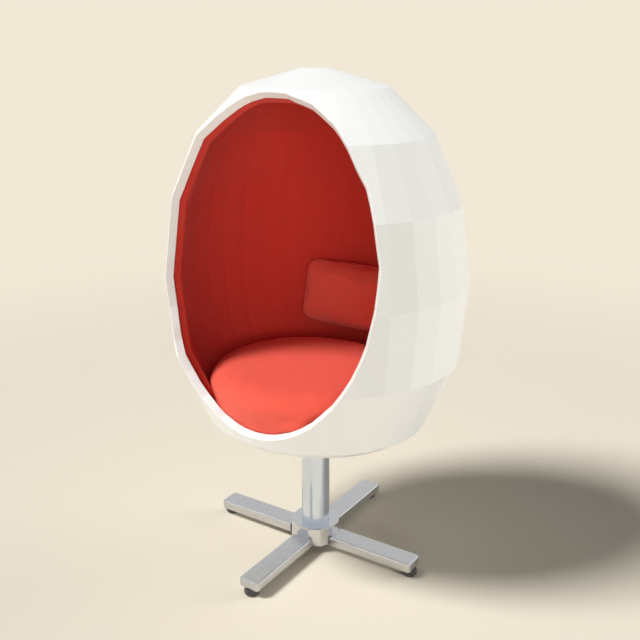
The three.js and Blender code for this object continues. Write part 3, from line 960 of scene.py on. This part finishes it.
@dataclass
class Cushions:
    """The seat cushion and the back cushion, swollen by a cloth simulation."""

    workshop: Workshop
    finish: Upholstery = field(
        default_factory=lambda: Upholstery(
            name="cushion_wool",
            colour=(0.92, 0.128, 0.084),
            dark_dye_and_shade=(0.83, 0.095, 0.061),
            lit=(0.95, 0.169, 0.115),
        )
    )
    voxel: float = 6.0 * MM
    shrink: float = 1.5 * MM
    cap: float = 5.0 * MM
    pressure: float = 4.0
    last_frame: int = 20
    clear_from: float = 3.0 * MM
    clear_to: float = 26.0 * MM
    seam_half_width: float = 4.5 * MM
    seam_depth: float = 2.0 * MM
    seat_seam_height: float = 30.0 * MM
    back_seam_depth: float = 42.0 * MM
    back_lean_degrees: float = 12.0
    seat_fill: float = 0.85
    back_fill: float = 0.8
    ease_factor: float = 0.5
    ease_steps: int = 3
    cloth_quality: int = 5
    cloth_mass: float = 0.3
    stretch_stiffness: float = 12.0
    shear_stiffness: float = 5.0
    bending_stiffness: float = 0.6

    def build(self) -> list[bpy.types.Object]:
        """Makes both cushions.

        Returns:
            The pieces.
        """
        material = self.finish.build(self.workshop.effects)
        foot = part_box("seat_cushion")[0]
        seat_seam = Seam(Vector((0.0, 0.0, foot[2] + self.seat_seam_height)), Vector((0.0, 0.0, 1.0)))
        lean = math.radians(self.back_lean_degrees)
        across = Vector((0.0, math.cos(lean), -math.sin(lean)))
        front = min(across.dot(corner.co) for corner in self.workshop.nodes["back_cushion"].data.vertices)
        back_seam = Seam(across * (front + self.back_seam_depth), across)
        return [
            self.cushion("seat_cushion", "seat_pad", material, self.seat_fill, seat_seam),
            self.cushion("back_cushion", "back_pad", material, self.back_fill, back_seam),
        ]

    def cushion(
        self, node: str, name: str, material: bpy.types.Material, fill: float, seam: Seam
    ) -> bpy.types.Object:
        """Makes one cushion in the space of its node.

        Args:
            node: The node's name.
            name: The piece's name.
            material: Its finish.
            fill: How full it is.
            seam: The seam round it.

        Returns:
            The piece.
        """
        shop = self.workshop
        form = bmesh.new()
        form.from_mesh(shop.nodes[node].data)
        bmesh.ops.remove_doubles(form, verts=form.verts, dist=WELD)
        piece = shop.add(name, shop.finish_mesh(form, name), material)
        remesh = piece.modifiers.new("even", "REMESH")
        remesh.mode = "VOXEL"
        remesh.voxel_size = self.voxel
        smooth = piece.modifiers.new("ease", "SMOOTH")
        smooth.factor = self.ease_factor
        smooth.iterations = self.ease_steps
        shop.apply(piece)
        room = self.room(piece.data, node)
        self.inset(piece.data)
        self.swell(piece, room)
        piece.data.shade_smooth()
        fine = piece.modifiers.new("fine", "SUBSURF")
        fine.levels = 1
        fine.render_levels = 1
        shop.apply(piece)
        self.sew(piece.data, seam)
        piece.data.shade_smooth()
        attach(piece, Body.POD.value)
        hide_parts(node)
        return piece

    def room(self, mesh: bpy.types.Mesh, node: str) -> list[float]:
        """Measures how freely each corner of a cushion can swell.

        Args:
            mesh: The cushion's mesh.
            node: The cushion's node.

        Returns:
            For each corner, 0 where a neighbour touches it and 1 where it is free.
        """
        others = [n for n in ("shell", "lining", "seat_cushion", "back_cushion") if n != node]
        trees = []
        for other in others:
            form = bmesh.new()
            form.from_mesh(self.workshop.nodes[other].data)
            trees.append(BVHTree.FromBMesh(form))
            form.free()
        shares = []
        for corner in mesh.vertices:
            gap = min(tree.find_nearest(corner.co)[3] for tree in trees)
            share = (gap - self.clear_from) / (self.clear_to - self.clear_from)
            shares.append(min(max(share, 0.0), 1.0))
        return shares

    def inset(self, mesh: bpy.types.Mesh) -> None:
        """Moves a cushion's faces inward by the shrink, so that it can swell back.

        Args:
            mesh: The cushion's mesh.
        """
        normals = [normal.vector.copy() for normal in mesh.vertex_normals]
        for corner, normal in zip(mesh.vertices, normals):
            corner.co -= normal * self.shrink

    def sew(self, mesh: bpy.types.Mesh, seam: Seam) -> None:
        """Draws the cover in along its seam.

        Args:
            mesh: The cushion's mesh.
            seam: The seam round it.
        """
        normals = [normal.vector.copy() for normal in mesh.vertex_normals]
        for corner, normal in zip(mesh.vertices, normals):
            away = min(abs(seam.across.dot(corner.co - seam.point)) / self.seam_half_width, 1.0)
            corner.co -= normal * self.seam_depth * (1.0 - away) ** 2

    def swell(self, piece: bpy.types.Object, room: Sequence[float]) -> None:
        """Blows the cushion up under cloth pressure, within the cap and the room at each corner.

        Args:
            piece: The cushion.
            room: How freely each corner can move.
        """
        start = [corner.co.copy() for corner in piece.data.vertices]
        modifier = piece.modifiers.new("swell", "CLOTH")
        settings = modifier.settings
        settings.quality = self.cloth_quality
        settings.mass = self.cloth_mass
        settings.tension_stiffness = self.stretch_stiffness
        settings.compression_stiffness = self.stretch_stiffness
        settings.shear_stiffness = self.shear_stiffness
        settings.bending_stiffness = self.bending_stiffness
        settings.use_pressure = True
        settings.uniform_pressure_force = self.pressure
        settings.effector_weights.gravity = 0.0
        modifier.point_cache.frame_start = 1
        modifier.point_cache.frame_end = self.last_frame
        for step in range(1, self.last_frame + 1):
            bpy.context.scene.frame_set(step)
        self.workshop.apply(piece)
        bpy.context.scene.frame_set(1)
        for corner, old, share in zip(piece.data.vertices, start, room):
            move = corner.co - old
            most = self.cap * share
            if move.length > most:
                move *= most / move.length
            corner.co = old + move


@dataclass
class Glides:
    """The moulded glides under the arm ends, with a round bulge and a socket for the stud."""

    workshop: Workshop
    finish: Moulded = field(
        default_factory=lambda: Moulded(
            "glide_rubber", (0.045, 0.045, 0.047), (0.08, 0.078, 0.075), (0.32, 0.45)
        )
    )
    foot_radius: float = 14.0 * MM
    neck_radius: float = 18.0 * MM
    bulge_height: float = 9.0 * MM
    socket_radius: float = 4.3 * MM
    socket_depth: float = 11.0 * MM
    arc_steps: int = 6
    sides: int = 48
    sharp_degrees: float = 40.0

    def build(self) -> list[bpy.types.Object]:
        """Makes the four glides.

        Returns:
            The pieces.
        """
        material = self.finish.build(self.workshop.effects)
        return [self.glide(side, material) for side in SIDES]

    def glide(self, side: str, material: bpy.types.Material) -> bpy.types.Object:
        """Makes one glide in the space of its node.

        Args:
            side: The arm that it stands under.
            material: Its finish.

        Returns:
            The piece.
        """
        shop = self.workshop
        low, high = (Vector(corner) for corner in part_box(f"glide_{side}"))
        radius = (high.x - low.x) / 2
        top = high.z - low.z
        bend = [math.pi / 2 * i / self.arc_steps for i in range(self.arc_steps + 1)]
        heel, shoulder = radius - self.foot_radius, radius - self.neck_radius
        section = [
            Ring(self.foot_radius + heel * math.sin(turn), self.bulge_height * (1.0 - math.cos(turn)))
            for turn in bend
        ]
        rise = top - self.bulge_height
        section += [
            Ring(self.neck_radius + shoulder * math.cos(turn), self.bulge_height + rise * math.sin(turn))
            for turn in bend[1:]
        ]
        section.append(Ring(self.socket_radius, top))
        section.append(Ring(self.socket_radius, top - self.socket_depth))
        centre = Vector(((low.x + high.x) / 2, (low.y + high.y) / 2, low.z))
        mesh = shop.turned(f"glide_{side}_foot", section, centre, self.sides, self.sharp_degrees)
        piece = shop.add(f"glide_{side}_foot", mesh, material)
        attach(piece, Body.BASE.value)
        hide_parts(f"glide_{side}")
        return piece


@dataclass(frozen=True)
class Bolt:
    """An upright bolt with its head down: the node that it stands for and its sizes."""

    node: str
    body: Body
    shank_radius: float
    head_length: float


@dataclass
class Bolts:
    """The upright bolts, with hexagon heads."""

    workshop: Workshop
    material: bpy.types.Material
    chamfer: float = 1.0 * MM
    sides: int = 36
    sharp_degrees: float = 20.0

    def build(self) -> list[bpy.types.Object]:
        """Makes the bolts.

        Returns:
            The pieces.
        """
        bolts = [
            Bolt(f"plate_bolt_{corner}", Body.POD, shank_radius=4.0 * MM, head_length=5.0 * MM)
            for corner in CORNERS
        ]
        bolts.append(Bolt("column_bolt", Body.BASE, shank_radius=6.0 * MM, head_length=5.0 * MM))
        bolts.append(Bolt("retaining_screw", Body.POD, shank_radius=4.0 * MM, head_length=6.0 * MM))
        return [self.bolt(bolt) for bolt in bolts]

    def bolt(self, bolt: Bolt) -> bpy.types.Object:
        """Makes one bolt in the space of its node.

        Args:
            bolt: The bolt.

        Returns:
            The piece.
        """
        shop = self.workshop
        low, high = (Vector(corner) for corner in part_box(bolt.node))
        head = (high.x - low.x) / 2
        length = high.z - low.z
        section = [
            Ring(head - self.chamfer, 0.0),
            Ring(head, self.chamfer, hexagon=True),
            Ring(head, bolt.head_length, hexagon=True),
            Ring(bolt.shank_radius, bolt.head_length),
            Ring(bolt.shank_radius, length - self.chamfer),
            Ring(bolt.shank_radius - self.chamfer, length),
        ]
        centre = Vector(((low.x + high.x) / 2, (low.y + high.y) / 2, low.z))
        mesh = shop.turned(f"{bolt.node}_hexagon", section, centre, self.sides, self.sharp_degrees)
        piece = shop.add(f"{bolt.node}_hexagon", mesh, self.material)
        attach(piece, bolt.body.value)
        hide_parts(bolt.node)
        return piece


@dataclass
class Base:
    """The cross base, the column and the swivel parts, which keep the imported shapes."""

    workshop: Workshop
    edge: float = 0.8 * MM
    edge_steps: int = 2
    edge_degrees: float = 28.0

    def build(self) -> list[bpy.types.Object]:
        """Dresses every carried-over piece of metal, rubber and plastic, and makes the upright bolts.

        Returns:
            The bolts.
        """
        effects = self.workshop.effects
        bar = {
            axis: Metal(
                f"polished_aluminium_{axis.name.lower()}",
                (0.66, 0.67, 0.69), (0.60, 0.61, 0.63), (0.24, 0.34), axis,
            ).build(effects)
            for axis in (Axis.X, Axis.Y)
        }
        hub = Metal("polished_hub", (0.68, 0.69, 0.71), (0.62, 0.63, 0.65), (0.10, 0.18)).build(effects)
        chrome = Metal(
            "column_chrome", (0.74, 0.81, 0.90), (0.68, 0.75, 0.84), (0.12, 0.2), metallic=0.85
        ).build(effects)
        dark = Metal(
            "grey_paint", (0.10, 0.105, 0.11), (0.14, 0.145, 0.15), (0.4, 0.55), metallic=0.0, coat=0.1
        ).build(effects)
        zinc = Metal("zinc_plate", (0.56, 0.57, 0.58), (0.48, 0.49, 0.50), (0.28, 0.42)).build(effects)
        acetal = Moulded("bush_acetal", (0.72, 0.69, 0.61), (0.62, 0.59, 0.52), (0.35, 0.5)).build(effects)
        plan: dict[str, bpy.types.Material] = {
            "base_hub": hub,
            "hub_plate": dark,
            "column_tube": chrome,
            "column_collar": chrome,
            "column_foot_plug": dark,
            "upper_bush": acetal,
            "lower_bush": acetal,
            "thrust_washer": acetal,
            "spindle": dark,
            "retaining_washer": zinc,
            "swivel_plate": dark,
            "clamp_plate": zinc,
            "cushion_stud_left": zinc,
            "cushion_stud_right": zinc,
        }
        for side in SIDES:
            along = Axis.X if side in ("right", "left") else Axis.Y
            plan[f"base_arm_{side}"] = bar[along]
            plan[f"arm_bolt_{side}"] = zinc
            plan[f"glide_stud_{side}"] = zinc
        for name, material in plan.items():
            self.dress(name, material)
        return Bolts(self.workshop, zinc).build()

    def dress(self, name: str, material: bpy.types.Material) -> None:
        """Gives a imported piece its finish, a fine rounding on its edges and smooth shading.

        Args:
            name: The node's name.
            material: Its finish.
        """
        piece = self.workshop.nodes[name]
        piece.data.materials.clear()
        piece.data.materials.append(material)
        piece.data.shade_smooth()
        rounding = piece.modifiers.new("edge", "BEVEL")
        rounding.width = self.edge
        rounding.segments = self.edge_steps
        rounding.limit_method = "ANGLE"
        rounding.angle_limit = math.radians(self.edge_degrees)
        rounding.harden_normals = False
        self.workshop.keep_flats(piece)


@dataclass(frozen=True)
class Lamp:
    """A broad lamp, far away, at an azimuth from -Y towards +X and an elevation."""

    name: str
    azimuth: float
    elevation: float
    strength: float
    width: float
    reach: Reach = Reach.LIGHT

    def build(self) -> None:
        """Makes the lamp."""
        light = bpy.data.lights.new(self.name, "SUN")
        light.energy = self.strength
        light.angle = math.radians(self.width)
        lamp = bpy.data.objects.new(self.name, light)
        lamp.rotation_mode = "QUATERNION"
        lamp.rotation_quaternion = (-heading(self.azimuth, self.elevation)).to_track_quat("-Z", "Y")
        lamp.visible_diffuse = self.reach is Reach.LIGHT
        lamp.visible_glossy = self.reach is Reach.GLINT
        bpy.context.scene.collection.objects.link(lamp)


def heading(azimuth: float, elevation: float) -> Vector:
    """Gives the direction towards a place round the chair.

    Args:
        azimuth: Degrees from -Y towards +X.
        elevation: Degrees above the floor.

    Returns:
        The direction, of length 1.
    """
    turn, rise = math.radians(azimuth), math.radians(elevation)
    return Vector((math.sin(turn) * math.cos(rise), -math.cos(turn) * math.cos(rise), math.sin(rise)))


@dataclass
class Studio:
    """The pale floor, the light and the camera."""

    floor_reach: float = 120.0
    floor: StudioFloor = field(default_factory=StudioFloor)
    backdrop: Colour = (0.888, 0.807, 0.672)
    dome: Colour = (0.70, 0.70, 0.70)
    dome_from: float = 0.04
    dome_to: float = 0.22
    lamps: tuple[Lamp, ...] = (
        Lamp("key", azimuth=-45.5, elevation=51.5, strength=3.4, width=16.0),
        Lamp("front_level", azimuth=33.0, elevation=2.0, strength=1.78, width=40.0),
        Lamp("side_level", azimuth=135.0, elevation=2.0, strength=2.7, width=40.0),
        Lamp("side_high", azimuth=144.0, elevation=27.0, strength=0.3, width=30.0),
        Lamp("inside_fill", azimuth=-20.0, elevation=20.0, strength=0.18, width=40.0),
        Lamp("key_glint", azimuth=-43.0, elevation=45.0, strength=0.03, width=6.0, reach=Reach.GLINT),
        Lamp("side_glint", azimuth=144.0, elevation=27.0, strength=0.03, width=8.0, reach=Reach.GLINT),
    )
    camera_place: tuple[float, float, float] = (1.2504, -1.9214, 1.4235)
    camera_azimuth: float = 33.0907
    camera_elevation: float = 18.1762
    lens: float = 50.0
    sensor: float = 36.0
    clip_reaches: float = 4.0

    def build(self) -> None:
        """Makes the floor, the world, the lamps and the camera."""
        self.make_floor()
        self.make_world()
        for lamp in self.lamps:
            lamp.build()
        self.make_camera()
        bpy.context.scene.view_settings.view_transform = "Standard"

    def make_floor(self) -> None:
        """Makes the floor."""
        form = bmesh.new()
        reach = self.floor_reach
        ends = [form.verts.new((x * reach, y * reach, 0.0)) for x, y in ((-1, -1), (1, -1), (1, 1), (-1, 1))]
        form.faces.new(ends)
        mesh = bpy.data.meshes.new("floor")
        form.to_mesh(mesh)
        form.free()
        mesh.materials.append(self.floor.build(self.backdrop))
        floor = bpy.data.objects.new("floor", mesh)
        bpy.context.scene.collection.objects.link(floor)

    def make_world(self) -> None:
        """Makes the world: the backdrop and a grey dome, which only the camera and reflections see."""
        world = bpy.data.worlds.new("studio")
        world.use_nodes = True
        bpy.context.scene.world = world
        tree = NodeTree(world.node_tree)
        seen = world.node_tree.nodes["Background"]
        split = tree.node("ShaderNodeSeparateXYZ")
        tree.feed(split.inputs[0], tree.node("ShaderNodeTexCoord").outputs["Generated"])
        height = tree.spread(split.outputs["Z"], self.dome_from, self.dome_to, (0.0, 1.0))
        tree.feed(seen.inputs["Color"], tree.mix(height, self.backdrop, self.dome))
        path = tree.node("ShaderNodeLightPath")
        mirrored = tree.math("MAXIMUM", path.outputs["Is Glossy Ray"], path.outputs["Is Transmission Ray"])
        tree.feed(seen.inputs["Strength"], tree.math("MAXIMUM", path.outputs["Is Camera Ray"], mirrored))

    def make_camera(self) -> None:
        """Makes the camera at the photograph's place."""
        data = bpy.data.cameras.new("camera")
        data.lens = self.lens
        data.sensor_width = self.sensor
        data.clip_end = self.clip_reaches * self.floor_reach
        camera = bpy.data.objects.new("camera", data)
        camera.location = self.camera_place
        camera.rotation_mode = "QUATERNION"
        back = heading(self.camera_azimuth, self.camera_elevation)
        camera.rotation_quaternion = (-back).to_track_quat("-Z", "Y")
        bpy.context.scene.collection.objects.link(camera)
        bpy.context.scene.camera = camera


def main() -> None:
    """Builds the chair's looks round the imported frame, in order."""
    logging.basicConfig(level=logging.INFO, format="%(message)s")
    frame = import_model()
    workshop = Workshop(frame)
    Studio().build()
    LOG.info("studio and camera made")
    LOG.info("%s made", Shell(workshop).build().name)
    LOG.info("%s made", Lining(workshop).build().name)
    for piece in Cushions(workshop).build():
        LOG.info("%s made", piece.name)
    for piece in Glides(workshop).build():
        LOG.info("%s made", piece.name)
    for piece in Base(workshop).build():
        LOG.info("%s made", piece.name)
    LOG.info("base and swivel dressed")


if __name__ == "__main__":
    main()
